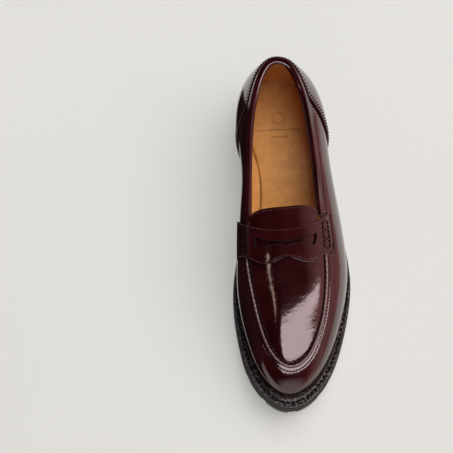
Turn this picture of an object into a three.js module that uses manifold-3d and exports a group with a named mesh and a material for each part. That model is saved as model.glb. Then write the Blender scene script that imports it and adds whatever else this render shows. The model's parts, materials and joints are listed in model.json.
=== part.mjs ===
// A welted penny loafer for the left foot, size EU 42, in millimetres.
// x points to the outer (lateral) side, the toe points along -y, z is up, and the shoe stands on z = 0.
// Inside this file a place along the shoe is s, measured from the back of the heel towards the toe.
import * as THREE from 'three';
import { LoftGeometry } from 'three/addons/geometries/LoftGeometry.js';
import { mergeVertices } from 'three/addons/utils/BufferGeometryUtils.js';
import Module from 'manifold-3d';

const wasm = await Module();
wasm.setup();

// ---- driving dimensions ----
const centreX = 7.507; // x of the middle of the footprint, measured from the axis of the last
const centreS = 150.381; // s of the middle of the footprint
const gap = 0.3; // air between layers
const seatHeight = 34; // welt top above the ground at the heel
const ballHeight = 18.6; // welt top above the ground at the ball
const toeSpring = 8.5; // rise of the toe
const upperLeather = 1.3;
const stiffenerThickness = 1.0;
const liningLeather = 1.0;
const weltThickness = 3.3;
const midsoleThickness = 4.0;
const outsoleThickness = 5.0; // without its lugs
const heelBreast = 4.35; // station of the front of the heel
const vampCrown = 13.2; // rise of the vamp's middle above its edges
const strapRimShare = 0.8; // part of the strap's half width that lies on the vamp
const strapDrop = { lateral: 0.2, medial: 0.3 }; // how far its ends reach down the walls, of their height
const toeStation = 13; // the loop of stations runs from the back (0) over the lateral side to the toe (13)

// ---- the last ----
// One row per station round the shoe: feather edge x, s; top edge x, s, z; sole margin;
// low swell, top swell and top drop of the wall between them. 0 is the back, 13 the toe, 14 to 25 the medial side.
const stations = [
  [4, 5.5, 3, 6.5, 95, 3.5, 9, 4, 18],
  [20.5, 8.5, 12.8, 10.3, 94.3, 3.2, 10, 6, 18],
  [32, 23.5, 20, 21.5, 91.3, 3, 12, 8, 18],
  [37.5, 47, 26.3, 42, 85.8, 3, 13, 11, 17],
  [40, 73, 30, 70, 80.3, 3, 12, 11, 16],
  [43, 100, 32, 98, 77, 3.5, 11, 11, 15],
  [47.8, 128, 32.6, 126, 75, 4, 10, 12, 13],
  [52.3, 156, 33.8, 154, 72.3, 4.5, 8, 13, 10],
  [54.5, 184, 34.9, 181, 66.8, 5, 6, 13, 7],
  [50.8, 210, 33.8, 206, 60, 6, 5, 12, 5.5],
  [43.3, 236, 29.3, 230, 54, 7, 4.5, 11, 4.5],
  [33.5, 259.5, 21.8, 249.5, 50.3, 8.3, 4, 11, 3.5],
  [19.2, 279.8, 13, 262.5, 48.3, 10, 3.5, 12, 3],
  [0.5, 290, 1.5, 268, 47.6, 11.8, 3.5, 12, 3],
  [-15.5, 282, -9.5, 262, 48.3, 10.5, 3.5, 12, 3],
  [-26.7, 264, -17.5, 248.5, 50.4, 9.5, 4, 11, 3.5],
  [-33.6, 240, -23, 230, 54, 8, 4.5, 10, 4.5],
  [-37.8, 214, -27.4, 207, 60, 6.5, 5, 10, 5.5],
  [-38, 187, -30.6, 182, 66.8, 5.5, 6, 9, 8],
  [-34, 160, -30.8, 156, 72.5, 4.5, 7, 8, 11],
  [-29.5, 132, -29.6, 129, 75.6, 3.5, 8, 7, 14],
  [-27, 104, -28, 101, 78, 3, 7, 6, 16],
  [-27.5, 76, -25.6, 74, 81.2, 3, 8, 8, 17],
  [-29, 49, -21.5, 47, 86, 3, 8, 9, 17],
  [-25, 23.5, -14.8, 24, 91, 3, 8, 7, 18],
  [-12.5, 8.2, -6.3, 10.5, 94.3, 3.2, 9, 5, 18],
];
const stationCount = stations.length;

// A smooth closed curve through one column of the stations.
function columnCurve(column) {
  const values = stations.map((row) => row[column]);
  const at = (list, i) => list[((i % stationCount) + stationCount) % stationCount];
  let control = values;
  for (let pass = 0; pass < 50; pass++) {
    control = values.map((v, i) => (6 * v - at(control, i - 1) - at(control, i + 1)) / 4);
  }
  return (a) => {
    const i = Math.floor(a);
    const t = a - i;
    const [p, q, r, w] = [-1, 0, 1, 2].map((k) => at(control, i + k));
    const cubic = (1 - t) ** 3 * p + (3 * t ** 3 - 6 * t ** 2 + 4) * q;
    return (cubic + (3 * t * (1 + t - t ** 2) + 1) * r + t ** 3 * w) / 6;
  };
}
const [featherX, featherS, rimX, rimS, rimZ, margin, lowSwell, topSwell, topDrop] =
  stations[0].map((_, column) => columnCurve(column));

const clamp01 = (t) => Math.min(1, Math.max(0, t));
const smooth = (t) => clamp01(t) ** 3 * (clamp01(t) * (clamp01(t) * 6 - 15) + 10);
const place = (x, s, z) => new THREE.Vector3(x - centreX, centreS - s, z);

// Height of the welt's top above the ground.
function weltTop(s) {
  const heelRise = (seatHeight - ballHeight) * smooth((195 - s) / 155);
  const toeRise = toeSpring * Math.max(0, (s - 205) / 95) ** 2;
  return ballHeight + heelRise + toeRise;
}

// Outward direction across the feather edge, seen from above.
function outward(a) {
  const step = 0.01;
  const dx = featherX(a + step) - featherX(a - step);
  const ds = featherS(a + step) - featherS(a - step);
  const length = Math.hypot(dx, ds);
  return { x: ds / length, s: -dx / length };
}

// A point beside the feather edge: out is measured outwards, rise from the welt's top.
function beside(a, out, rise) {
  const n = outward(a);
  const x = featherX(a) + n.x * out;
  const s = featherS(a) + n.s * out;
  return place(x, s, weltTop(s) + rise);
}

// The outer face of the upper's wall: h is 0 at the feather edge and 1 at the top edge.
function wallSurface(a, h) {
  const n = outward(a);
  const low = weltTop(featherS(a)) + gap;
  const high = rimZ(a);
  const lift = 0.36 * (high - low);
  const bezier = (p0, p1, p2, p3) =>
    (1 - h) ** 3 * p0 + 3 * h * (1 - h) ** 2 * p1 + 3 * h ** 2 * (1 - h) * p2 + h ** 3 * p3;
  const [fx, fs, tx, ts] = [featherX(a), featherS(a), rimX(a), rimS(a)];
  return place(
    bezier(fx, fx + n.x * lowSwell(a), tx + n.x * topSwell(a), tx),
    bezier(fs, fs + n.s * lowSwell(a), ts + n.s * topSwell(a), ts),
    bezier(low, low + lift, high - topDrop(a), high),
  );
}

// The vamp over the foot, from the toe (v = 13) back: u is 1 on the lateral edge, -1 on the medial one.
function vampSurface(v, u) {
  const mirror = stationCount - v;
  const share = (1 + u) / 2;
  const mix = (curve) => curve(mirror) + (curve(v) - curve(mirror)) * share;
  const s = mix(rimS);
  const along = clamp01((s - 137) / 131);
  const crown = vampCrown * (1 - along ** 2.2) ** 0.75;
  return place(mix(rimX), s, mix(rimZ) + crown * (1 - u * u));
}

// A surface moved along its own normal.
function offset(surface, i, j, distance) {
  const step = 1e-3;
  const di = surface(i + step, j).sub(surface(i - step, j));
  const dj = surface(i, j + step).sub(surface(i, j - step));
  return surface(i, j).addScaledVector(di.cross(dj).normalize(), distance);
}
const wall = (a, h, out) => offset(wallSurface, a, h, -out);
const vamp = (v, u, out) => offset(vampSurface, v, u, out);

// Station on the lateral side whose top edge lies at s.
function stationAt(s) {
  let [low, high] = [1, 12];
  for (let pass = 0; pass < 30; pass++) {
    const middle = (low + high) / 2;
    if (rimS(middle) < s) low = middle;
    else high = middle;
  }
  return low;
}

// ---- solids ----
const range = (from, to, count) =>
  Array.from({ length: count + 1 }, (_, i) => from + ((to - from) * i) / count);

// Volume of a closed geometry, negative when its faces point in.
function volumeOf(geometry) {
  const position = geometry.getAttribute('position');
  const index = geometry.index.array;
  const corner = (i) => new THREE.Vector3().fromBufferAttribute(position, index[i]);
  let sum = 0;
  for (let i = 0; i < index.length; i += 3) {
    sum += corner(i).dot(corner(i + 1).cross(corner(i + 2))) / 6;
  }
  return sum;
}

// A loft through closed sections, with its faces out.
function loft(sections) {
  const caps = { capStart: true, capEnd: true };
  const made = new LoftGeometry(sections, caps);
  if (volumeOf(made) > 0) return made;
  return new LoftGeometry(sections.map((section) => [...section].reverse()), caps);
}

// A sheet between two faces, each a function of (i, j).
function sheet(iValues, jValues, face, back) {
  const turned = [...jValues].reverse();
  return loft(iValues.map((i) => [...jValues.map((j) => face(i, j)), ...turned.map((j) => back(i, j))]));
}

// A plate across the shoe between two stations: inset is measured inwards from the feather edge.
function plate(vValues, inset, top, bottom, columns = 2) {
  const across = (v, share, rise) => {
    const lateral = beside(v, -inset(v), 0);
    const medial = beside(stationCount - v, -inset(stationCount - v), 0);
    const point = medial.lerp(lateral, share);
    point.z = rise(centreS - point.y);
    return point;
  };
  return sheet(
    vValues,
    range(0, 1, columns),
    (v, share) => across(v, share, top),
    (v, share) => across(v, share, bottom),
  );
}

// A cord along a path of points.
function thread(points, radius, steps, sides = 3) {
  const ring = new THREE.Shape(range(0, 2 * Math.PI, sides).slice(1).map(
    (turn) => new THREE.Vector2(Math.cos(turn) * radius, Math.sin(turn) * radius),
  ));
  const path = new THREE.CatmullRomCurve3(points);
  return new THREE.ExtrudeGeometry(ring, { steps, extrudePath: path, bevelEnabled: false });
}

// three.js geometry to a solid and back, for cuts and joins.
function toSolid(geometry) {
  const bare = geometry.index ? geometry.toNonIndexed() : geometry.clone();
  for (const name of ['normal', 'uv']) bare.deleteAttribute(name);
  const merged = mergeVertices(bare, 1e-3);
  return new wasm.Manifold(new wasm.Mesh({
    numProp: 3,
    vertProperties: merged.getAttribute('position').array,
    triVerts: new Uint32Array(merged.index.array),
  }));
}
function toGeometry(solid) {
  const mesh = solid.getMesh();
  const geometry = new THREE.BufferGeometry();
  geometry.setAttribute('position', new THREE.BufferAttribute(new Float32Array(mesh.vertProperties), 3));
  geometry.setIndex(new THREE.BufferAttribute(new Uint32Array(mesh.triVerts), 1));
  geometry.computeVertexNormals();
  return geometry;
}
const cut = (base, tools) =>
  toGeometry(tools.reduce((solid, tool) => solid.subtract(toSolid(tool)), toSolid(base)));
const join = (pieces) =>
  toGeometry(pieces.slice(1).reduce((solid, piece) => solid.add(toSolid(piece)), toSolid(pieces[0])));

// ---- materials ----
const finish = (color, roughness, metalness = 0) =>
  new THREE.MeshStandardMaterial({ color, roughness, metalness });
const burgundyLeather = finish('#3f0d16', 0.15);
const tanLeather = finish('#b57f45', 0.55);
const naturalLeather = finish('#c9a173', 0.7);
const blackRubber = finish('#1d1a18', 0.6);
const weltLeather = finish('#241b18', 0.5);
const darkThread = finish('#140d0d', 0.7);
const paleThread = finish('#d8c9a8', 0.8);
const corkMix = finish('#8a6238', 0.9);
const springSteel = finish('#8d9196', 0.35, 1);
const stiffBoard = finish('#a98f70', 0.8);
const foam = finish('#e2d9c6', 0.9);

const shoe = new THREE.Group();
const bottomUnit = new THREE.Group();
const upper = new THREE.Group();
const tongueFlap = new THREE.Group();
shoe.add(bottomUnit, upper, tongueFlap);

function add(group, name, geometry, material) {
  const mesh = new THREE.Mesh(geometry, material);
  mesh.name = name;
  group.add(mesh);
}

// Stations where every layer of the upper has a row of corners, so that the layers keep their gaps.
const halfGrid = [...range(0, 3, 9), ...range(3, 10.5, 15).slice(1), ...range(10.5, 13, 8).slice(1)];
const grid = [...halfGrid.map((a) => -a).reverse(), ...halfGrid.slice(1), ...halfGrid.map((a) => 26 - a).reverse()];
const gridBetween = (from, to) => [from, ...grid.filter((a) => a > from + 0.05 && a < to - 0.05), to];

// ---- bottom unit ----
const backEnd = 0.05; // plates start this far from the back and end as far from the toe
const wholeLength = [backEnd, ...range(0.5, 12.5, 24), toeStation - backEnd];
const soleTop = (s) => weltTop(s) - weltThickness - gap;
const outsoleTop = (s) => soleTop(s) - midsoleThickness - gap;
const outsoleUnder = (s) => outsoleTop(s) - outsoleThickness;
const lugDepth = ballHeight - weltThickness - midsoleThickness - outsoleThickness - 2 * gap;

function makeWelt() {
  const outer = (a) => margin(a) - 1.2;
  const inner = -8;
  const strip = (from, to, count) => sheet(
    range(from, to, count),
    [0, 1],
    (a, j) => beside(a, inner + (outer(a) - inner) * j, 0),
    (a, j) => beside(a, inner + (outer(a) - inner) * j, -weltThickness),
  );
  add(bottomUnit, 'welt', strip(heelBreast + 0.1, stationCount - heelBreast - 0.1, 50), weltLeather);
  add(bottomUnit, 'heel_seat_rand', strip(-heelBreast + 0.1, heelBreast - 0.1, 24), weltLeather);
  const row = range(heelBreast + 0.5, stationCount - heelBreast - 0.5, 46);
  add(bottomUnit, 'welt_stitching',
    thread(row.map((a) => beside(a, outer(a) * 0.6, 0.85)), 0.5, 76), darkThread);
}

function makeMidsole() {
  const inset = (a) => 0.6 - margin(a);
  const under = (s) => soleTop(s) - midsoleThickness;
  add(bottomUnit, 'midsole', plate(wholeLength, inset, soleTop, under), blackRubber);
}

// Lugs round the edge of a tread, joined to its base.
function edgeLugs(from, to, count, inset, top, bottom, width = 14) {
  const pitch = (to - from) / count;
  return range(0, count - 1, count - 1).map((i) => {
    const start = from + i * pitch + pitch * 0.11;
    const end = from + (i + 1) * pitch - pitch * 0.11;
    const face = (rise) => (a, j) => {
      const point = beside(a, -inset(a) - width * j, 0);
      point.z = rise(centreS - point.y);
      return point;
    };
    return sheet(range(start, end, 3), [0, 1], face(top), face(bottom));
  });
}

// A straight lug in the middle of a tread, between ground and base.
function middleLug(x, s, length, width, turn, top, bottom) {
  const block = new THREE.BoxGeometry(length, width, top - bottom);
  block.rotateZ(turn);
  const where = place(x, s, (top + bottom) / 2);
  return block.translate(where.x, where.y, where.z);
}

function makeOutsole() {
  const inset = (a) => -margin(a);
  const base = plate(wholeLength, inset, outsoleTop, outsoleUnder);
  const ground = (s) => Math.max(0, outsoleUnder(s) - lugDepth);
  const overlap = (s) => outsoleUnder(s) + 1;
  const rim = edgeLugs(6, stationCount - 6, 14, inset, overlap, ground);
  const bars = [];
  for (let s = 150; s <= 270; s += 15) {
    const reach = s < 240 ? 24 : 15;
    const middle = 4 - (s - 150) * 0.025;
    for (const side of [-1, 1]) {
      bars.push(middleLug(middle + side * reach * 0.42, s, reach * 0.72, 6, side * 0.45, overlap(s - 4), ground(s)));
    }
  }
  add(bottomUnit, 'outsole', join([base, ...rim, ...bars]), blackRubber);
}

function makeHeel() {
  const stackInset = (a) => 0.4 - margin(a);
  const rows = [backEnd, ...range(0.5, 4, 7), heelBreast];
  const liftHeight = 4.5;
  const upperTop = (s) => outsoleUnder(s) - gap;
  const upperUnder = (s) => upperTop(s) - liftHeight * smooth((120 - s) / 60);
  const blockTop = (s) => Math.max(upperUnder(s) - gap, 8);
  const treadDepth = 5;
  const nailPlaces = [[4.5, 18], [-12, 40], [21, 40], [-11, 66], [21, 66]];
  const bore = (x, s, r, from, to) => {
    const rod = new THREE.CylinderGeometry(r, r, to - from, 6).rotateX(Math.PI / 2);
    const where = place(x, s, (from + to) / 2);
    return rod.translate(where.x, where.y, where.z);
  };
  const holes = nailPlaces.map(([x, s]) => bore(x, s, 2, -1, 40));
  const lift = plate(rows, stackInset, upperTop, upperUnder);
  add(bottomUnit, 'heel_lift', cut(lift, holes), blackRubber);
  const inset = (a) => -margin(a);
  const base = plate(rows, inset, blockTop, () => treadDepth);
  const rim = edgeLugs(-heelBreast + 0.15, heelBreast - 0.15, 8, inset, () => treadDepth + 1, () => 0, 13);
  const bars = [26, 42, 58, 74].map((s) => middleLug(4.5, s, 30, 8, 0, treadDepth + 1, 0));
  add(bottomUnit, 'heel_block', cut(join([base, ...rim, ...bars]), holes), blackRubber);
  nailPlaces.forEach(([x, s], i) => {
    const top = outsoleUnder(s) - 1.2;
    add(bottomUnit, `heel_nail_${i + 1}`, bore(x, s, 1.6, treadDepth + 2.5, top), springSteel);
  });
}

function makeInsole() {
  const insoleUnder = (s) => weltTop(s) + upperLeather + 2 * gap;
  const insoleTop = (s) => insoleUnder(s) + 2.5;
  add(bottomUnit, 'insole', plate(wholeLength, () => 4.8, insoleTop, insoleUnder), naturalLeather);

  const padFade = (s) => smooth((100 - s) / 30);
  const padTop = (s) => insoleTop(s) + gap + 0.2 + 1.6 * padFade(s);
  const padUnder = (s) => insoleTop(s) + gap;
  add(bottomUnit, 'heel_pad', plate([backEnd, ...range(0.5, 4, 7)], () => 9, padTop, padUnder), foam);

  const sockUnder = (s) => padTop(s) + gap;
  const sockTop = (s) => sockUnder(s) + 1.2;
  const sockRows = [backEnd, ...range(0.5, 9, 17)];
  add(bottomUnit, 'sock_lining', plate(sockRows, () => 5.2, sockTop, sockUnder), tanLeather);

  const ribFace = (rise) => (a, j) => beside(a, -8.4 - 1.8 * j, rise);
  const ribRows = range(heelBreast + 0.3, stationCount - heelBreast - 0.3, 48);
  add(bottomUnit, 'insole_rib', sheet(ribRows, [0, 1], ribFace(upperLeather + gap), ribFace(-3)), naturalLeather);

  const seamRows = range(heelBreast + 0.6, stationCount - heelBreast - 0.6, 44);
  add(bottomUnit, 'inseam_thread',
    thread(seamRows.map((a) => beside(a, -11.1, -1)), 0.45, 60), paleThread);

  const corkRows = [...range(7, 12.5, 11), toeStation - 0.15];
  const corkTop = (s) => weltTop(s) + upperLeather;
  const corkUnder = (s) => weltTop(s) - weltThickness + gap;
  add(bottomUnit, 'cork_filler', plate(corkRows, () => 12.4, corkTop, corkUnder), corkMix);

  const shankFace = (rise) => (s, j) => place(7 - 14 * j + 7, s, weltTop(s) + rise);
  add(bottomUnit, 'shank', sheet(range(52, 146, 10), [0, 1], shankFace(-1), shankFace(-2.2)), springSteel);
}

// ---- upper ----
const seam = 0.06; // half the seam at the back, in stations
const wallRows = [0.05, 0.22, 0.42, 0.62, 0.82, 1];

// The one-piece skirt that runs from the back seam round the toe, with its lasting margin turned in.
function makeSkirt() {
  const rows = [-2, -1, ...wallRows];
  const turned = (out, rise) => (a) => beside(a, out, rise);
  const outer = (a, h) => {
    if (h === -2) return turned(-6.5, gap)(a);
    if (h === -1) return turned(-0.9, gap)(a);
    return wall(a, h, 0);
  };
  const inner = (a, h) => {
    if (h === -2) return turned(-6.5, gap + upperLeather)(a);
    if (h === -1) return turned(-2.4, gap + upperLeather)(a);
    return wall(a, h, -upperLeather);
  };
  const columns = gridBetween(seam, stationCount - seam);
  add(upper, 'skirt', sheet(columns, rows, outer, inner), burgundyLeather);
}

function layer(rows, columns, out, thickness) {
  return sheet(columns, rows, (a, h) => wall(a, h, out), (a, h) => wall(a, h, out - thickness));
}
const layerGap = 0.45;
const stiffenerOut = -upperLeather - layerGap;
const liningOut = stiffenerOut - stiffenerThickness - layerGap;
const liningRows = [0.09, 0.42, 0.82, 1];

function makeStiffeners() {
  const rows = [0.09, 0.22, 0.42, 0.62, 0.82];
  const part = (from, to) => layer(rows, gridBetween(from, to), stiffenerOut, stiffenerThickness);
  add(upper, 'heel_stiffener', part(-4, 4), stiffBoard);
  add(upper, 'toe_puff', part(11, 15), stiffBoard);
}

const openingEnd = 6.5; // station where the opening's edge goes under the strap
const quarterEnd = 7.3; // station where the quarter lining meets the vamp lining, under the strap
function makeLinings() {
  const quarter = layer(liningRows, gridBetween(-quarterEnd, quarterEnd), liningOut, liningLeather);
  add(upper, 'quarter_lining', quarter, tanLeather);

  // up the lateral wall (0 to 1), over the vamp (1 to 3), down the medial wall (3 to 4)
  const rows = liningRows.slice(0, -1);
  const path = [...rows, ...range(1, 3, 6), ...rows.reverse().map((h) => 4 - h)];
  const face = (out) => (v, j) => {
    const lateral = () => wall(v, j, out);
    const medial = () => wall(stationCount - v, 4 - j, out);
    const over = (u) => vamp(v, u, out);
    if (j < 1) return lateral();
    if (j === 1) return wall(v, 1, out).lerp(over(1), 0.5);
    if (j < 3) return over(2 - j);
    if (j === 3) return wall(stationCount - v, 1, out).lerp(over(-1), 0.5);
    return medial();
  };
  const vampRows = gridBetween(quarterEnd + 0.1, toeStation - 0.25);
  const turnedFace = (out) => (j, v) => face(out)(v, j);
  add(upper, 'vamp_lining',
    sheet(path, vampRows, turnedFace(liningOut), turnedFace(liningOut - 0.8)), naturalLeather);
}

function makeBinding() {
  const columns = gridBetween(-openingEnd + 0.05, openingEnd - 0.05);
  const inside = liningOut - liningLeather;
  // [across the leather, up from the edge] for the binding's outer and inner faces
  const outerPath = [[1.1, -4], [1.1, 0.4], [-0.2, 1.4], [inside + 0.2, 1.4], [inside - 1, 0.4], [inside - 1.4, -3.2]];
  const innerPath = [[0.3, -4], [0.3, 0.2], [0.2, 0.4], [inside, 0.4], [inside - 0.3, 0.2], [inside - 0.7, -3.2]];
  const face = (path) => (a, j) => {
    const across = wall(a, 1, 1).sub(wall(a, 1, 0));
    const up = wall(a, 1, 0).sub(wall(a, 0.98, 0)).normalize();
    return wall(a, 1, 0).addScaledVector(across, path[j][0]).addScaledVector(up, path[j][1]);
  };
  add(upper, 'topline_binding', sheet(columns, [0, 1, 2, 3, 4, 5], face(outerPath), face(innerPath)), burgundyLeather);

  for (const [side, name] of [[1, 'lateral'], [-1, 'medial']]) {
    const row = gridBetween(3.25, openingEnd - 0.1).map((a) => wall(side * a, 0.85, 0.85));
    add(upper, `topline_stitching_${name}`, thread(row, 0.35, 28), darkThread);
  }
}

// The outer counter over the back of the heel: its front edges slope forwards and down.
function makeCounter() {
  const rows = [0.05, 0.22, 0.42, 0.62, 0.82, 0.92];
  const reach = (h) => 4.3 - 1.55 * h;
  const face = (out) => (i, h) => wall(i * reach(h), h, out);
  add(upper, 'heel_counter', sheet(range(-1, 1, 26), rows, face(1.9), face(0.7)), burgundyLeather);
  const edge = (side) => range(0.06, 0.87, 10).map((h) => [side * (reach(h) - 0.25), h]);
  const top = range(-0.9, 0.9, 26).map((i) => [i * reach(0.88), 0.88]);
  const route = [...edge(-1), ...top.slice(1, -1), ...edge(1).reverse()];
  add(upper, 'counter_stitching', thread(route.map(([a, h]) => wall(a, h, 2.55)), 0.35, 54), darkThread);
}

const seamStart = 8.35; // the apron seam comes out from under the strap here
function makeApron() {
  const rows = gridBetween(7.5, toeStation - 0.2);
  const halfWidth = (v) => wallSurface(v, 1).distanceTo(wallSurface(stationCount - v, 1)) / 2;
  const face = (out) => (v, i) => vamp(v, i * (1 - 0.8 / halfWidth(v)), out);
  add(upper, 'apron', sheet(rows, range(-1, 1, 8), face(0), face(-upperLeather)), burgundyLeather);
  const seamRows = gridBetween(seamStart, stationCount - seamStart);
  const raised = (a) => wall(a, 1, 1.1);
  add(upper, 'apron_seam_thread', thread(seamRows.map(raised), 0.55, 64), darkThread);
  const second = (a) => wall(a, 0.9, 0.8);
  add(upper, 'skirt_stitching', thread(seamRows.map(second), 0.35, 64), darkThread);
}

// The saddle strap's own surface: p runs from -1 (medial end) to 1 (lateral end) at a distance s along the shoe.
function saddleSurface(p, s) {
  const v = stationAt(s);
  const raw = (q) => {
    const size = Math.abs(q);
    if (size <= strapRimShare) return vampSurface(v, q / strapRimShare);
    const drop = q > 0 ? strapDrop.lateral : strapDrop.medial;
    const h = 1 - drop * (size - strapRimShare) / (1 - strapRimShare);
    return wallSurface(q > 0 ? v : stationCount - v, h);
  };
  const soft = 0.04;
  return raw(p).multiplyScalar(2).add(raw(p - soft)).add(raw(p + soft)).multiplyScalar(0.25);
}
const saddle = (p, s, out) => offset(saddleSurface, p, s, -out);
const strapRear = (p) => 157 - 17 * Math.abs(p) ** 2.2;
function strapFront(p) {
  const size = Math.abs(p);
  const lobe = 4.2 * Math.sin((Math.PI * Math.min(size, 0.84)) / 0.84) ** 2;
  return 181 + lobe - 6 * smooth((size - 0.45) / 0.55);
}

function makeStrap() {
  const columns = range(-1, 1, 20);
  const along = (p, t) => strapRear(p) + (strapFront(p) - strapRear(p)) * t;
  const piece = (out, thickness) => sheet(
    columns,
    range(0, 1, 3),
    (p, t) => saddle(p, along(p, t), out),
    (p, t) => saddle(p, along(p, t), out - thickness),
  );
  // the coin slot: a shallow smile with a notch in its lower edge
  const slot = new THREE.Shape();
  const at = (x, s) => [x - centreX, centreS - s];
  slot.moveTo(...at(-23.5, 161.5));
  slot.quadraticCurveTo(...at(-22, 166), ...at(2, 166.4));
  slot.quadraticCurveTo(...at(25, 166), ...at(26.5, 161.5));
  slot.quadraticCurveTo(...at(26.5, 170.5), ...at(18, 170));
  slot.quadraticCurveTo(...at(10, 169), ...at(6, 169.5));
  slot.lineTo(...at(2.5, 173));
  slot.lineTo(...at(-1, 169.5));
  slot.quadraticCurveTo(...at(-6, 169), ...at(-15, 170));
  slot.quadraticCurveTo(...at(-23.5, 170.5), ...at(-23.5, 161.5));
  const punch = new THREE.ExtrudeGeometry(slot, { depth: 60, bevelEnabled: false, curveSegments: 4 });
  punch.translate(0, 0, 50);
  add(upper, 'saddle_strap', cut(piece(2.9, 1.2), [punch]), burgundyLeather);
  add(upper, 'strap_backing', piece(1.4, 0.7), burgundyLeather);

  const borders = [
    ...range(-0.95, 0.95, 24).map((p) => [p, strapFront(p) - 2]),
    ...range(0.95, -0.95, 24).map((p) => [p, strapRear(p) + 2]),
  ];
  const edging = borders.map(([p, s]) => saddle(p, s, 3.6));
  add(upper, 'strap_edge_stitching', thread(edging, 0.35, 76), darkThread);
  for (const [side, name] of [[1, 'lateral'], [-1, 'medial']]) {
    const [near, far] = [0.77, 0.9];
    const [rear, front] = [152, 171];
    const rail = (p) => [[p, rear], [p, (rear * 2 + front) / 3], [p, (rear + front * 2) / 3], [p, front]];
    // up one rail and down the other, crossing at each rung
    const [a, b] = [rail(near), rail(far)];
    const route = [a[0], b[0], b[1], a[1], a[2], b[2], b[3], a[3]];
    const points = route.map(([p, s]) => saddle(side * p, s, 3.75));
    add(upper, `strap_ladder_${name}`, thread(points, 0.45, 35), darkThread);
  }
}

// The tongue behind the strap. Its front margin lies under the strap and the apron.
function makeTongue() {
  const [front, back] = [163, 137];
  const halfWidth = 0.8;
  const narrowing = (s) => Math.sqrt(1 - clamp01((back + 9 - s) / 9.6) ** 2);
  const face = (out) => (s, j) => {
    const width = halfWidth * (0.72 + 0.28 * narrowing(s));
    return vamp(stationAt(s), j * width, out);
  };
  const rows = [back, back + 1, back + 3, back + 6, back + 10, 152, 158, front];
  const columns = range(-1, 1, 10);
  add(tongueFlap, 'tongue', sheet(rows, columns, face(0), face(-1.1)), burgundyLeather);
  add(tongueFlap, 'tongue_lining', sheet(rows, columns, face(-1.4), face(-2.2)), tanLeather);
  const inner = (s, j) => vamp(stationAt(s), j * halfWidth * (0.72 + 0.28 * narrowing(s)), 0.75);
  const border = [
    ...range(147, back + 2.5, 5).map((s) => inner(s, -0.93)),
    ...range(-0.85, 0.85, 14).map((j) => inner(back + 2, j)),
    ...range(back + 2.5, 147, 5).map((s) => inner(s, 0.93)),
  ];
  add(tongueFlap, 'tongue_stitching', thread(border, 0.35, 50), darkThread);
}

makeOutsole();
makeHeel();
makeMidsole();
makeWelt();
makeInsole();
makeSkirt();
makeStiffeners();
makeLinings();
makeBinding();
makeCounter();
makeApron();
makeStrap();
makeTongue();

export default shoe;
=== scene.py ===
import json
import math

import bmesh
import bpy
import numpy as np
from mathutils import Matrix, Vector


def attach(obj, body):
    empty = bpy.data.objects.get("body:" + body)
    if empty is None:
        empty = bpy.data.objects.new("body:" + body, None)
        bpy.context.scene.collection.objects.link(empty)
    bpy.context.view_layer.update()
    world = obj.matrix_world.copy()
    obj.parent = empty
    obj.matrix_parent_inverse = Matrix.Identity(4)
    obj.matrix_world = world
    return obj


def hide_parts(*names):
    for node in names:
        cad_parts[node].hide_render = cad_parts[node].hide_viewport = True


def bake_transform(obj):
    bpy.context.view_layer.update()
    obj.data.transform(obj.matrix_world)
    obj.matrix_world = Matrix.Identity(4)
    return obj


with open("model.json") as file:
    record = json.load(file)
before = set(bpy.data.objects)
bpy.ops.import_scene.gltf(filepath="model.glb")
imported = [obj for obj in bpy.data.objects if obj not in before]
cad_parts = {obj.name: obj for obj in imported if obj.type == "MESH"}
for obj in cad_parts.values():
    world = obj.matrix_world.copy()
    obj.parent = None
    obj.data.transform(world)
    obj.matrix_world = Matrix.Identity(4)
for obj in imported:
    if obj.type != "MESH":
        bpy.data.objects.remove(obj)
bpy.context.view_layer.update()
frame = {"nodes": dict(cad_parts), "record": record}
mm = 0.001

print("loafer: camera and studio")

camera = {
    "aim": (-0.0547, 0.0104, 0.040),  # metres, in the frame's axes
    "distance": 1.7,
    "azimuth": -3,  # degrees; 0 looks along +Y
    "elevation": 73,
    "lens": 154.8,
}


def addObject(name, data):
    made = bpy.data.objects.new(name, data)
    bpy.context.scene.collection.objects.link(made)
    return made


def makeCamera():
    data = bpy.data.cameras.new("camera")
    data.lens = camera["lens"]
    eye = addObject("camera", data)
    turn, lift = math.radians(camera["azimuth"]), math.radians(camera["elevation"])
    back = Vector((math.sin(turn) * math.cos(lift), -math.cos(turn) * math.cos(lift), math.sin(lift)))
    eye.location = Vector(camera["aim"]) + back * camera["distance"]
    eye.rotation_euler = back.to_track_quat("Z", "Y").to_euler()
    bpy.context.scene.camera = eye


studio = {
    # linear radiance seen towards -X, overhead, towards +X and, added to those, towards -Y
    "world": {"left": (0.5, 0.5, 0.5), "overhead": (0.002, 0.002, 0.002), "right": (0.62, 0.34, 0.33),
              "front": (0.8, 0.68, 0.68)},
    "floor": {"near": "#bbbbb8", "far": "#bfbfbc", "glow": "#eeedea", "glowStrength": 0.40,
              "half": 3000, "height": -0.3},  # the last two in mm
    # the lamps lie level: middle and size in metres, turn about Z in degrees, and which rays see them
    "lamps": {
        "softbox": {"at": (3.85, -1.96, 3.0), "size": (10.3, 1.02), "turn": 0,
                    "radiance": 4.25, "tint": "#fffdfd", "lights": "gloss"},
        "strip": {"at": (-1.514, -0.765, 2.0), "size": (0.12, 0.40), "turn": -52,
                  "radiance": 4.0, "tint": "#ffeedd", "lights": "gloss"},
        "fill": {"at": (3.6, 2.6, 5.4), "size": (8.4, 8.4), "turn": 0,
                 "radiance": 2.8, "tint": "#fefdfa", "lights": "rest"},
    },
    # cards beside the shoe, seen only by the leather's gloss: across X, along Y and height, in metres
    "cards": {
        "inner": {"near": -0.062, "far": -0.15, "back": 0.17, "front": -0.155, "top": 0.11},
        "outer": {"near": 0.15, "far": 1.3, "back": 0.16, "front": -0.5, "top": 0.02},
    },
    "cardFoot": 0.0005,  # metres above the floor
}


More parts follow.
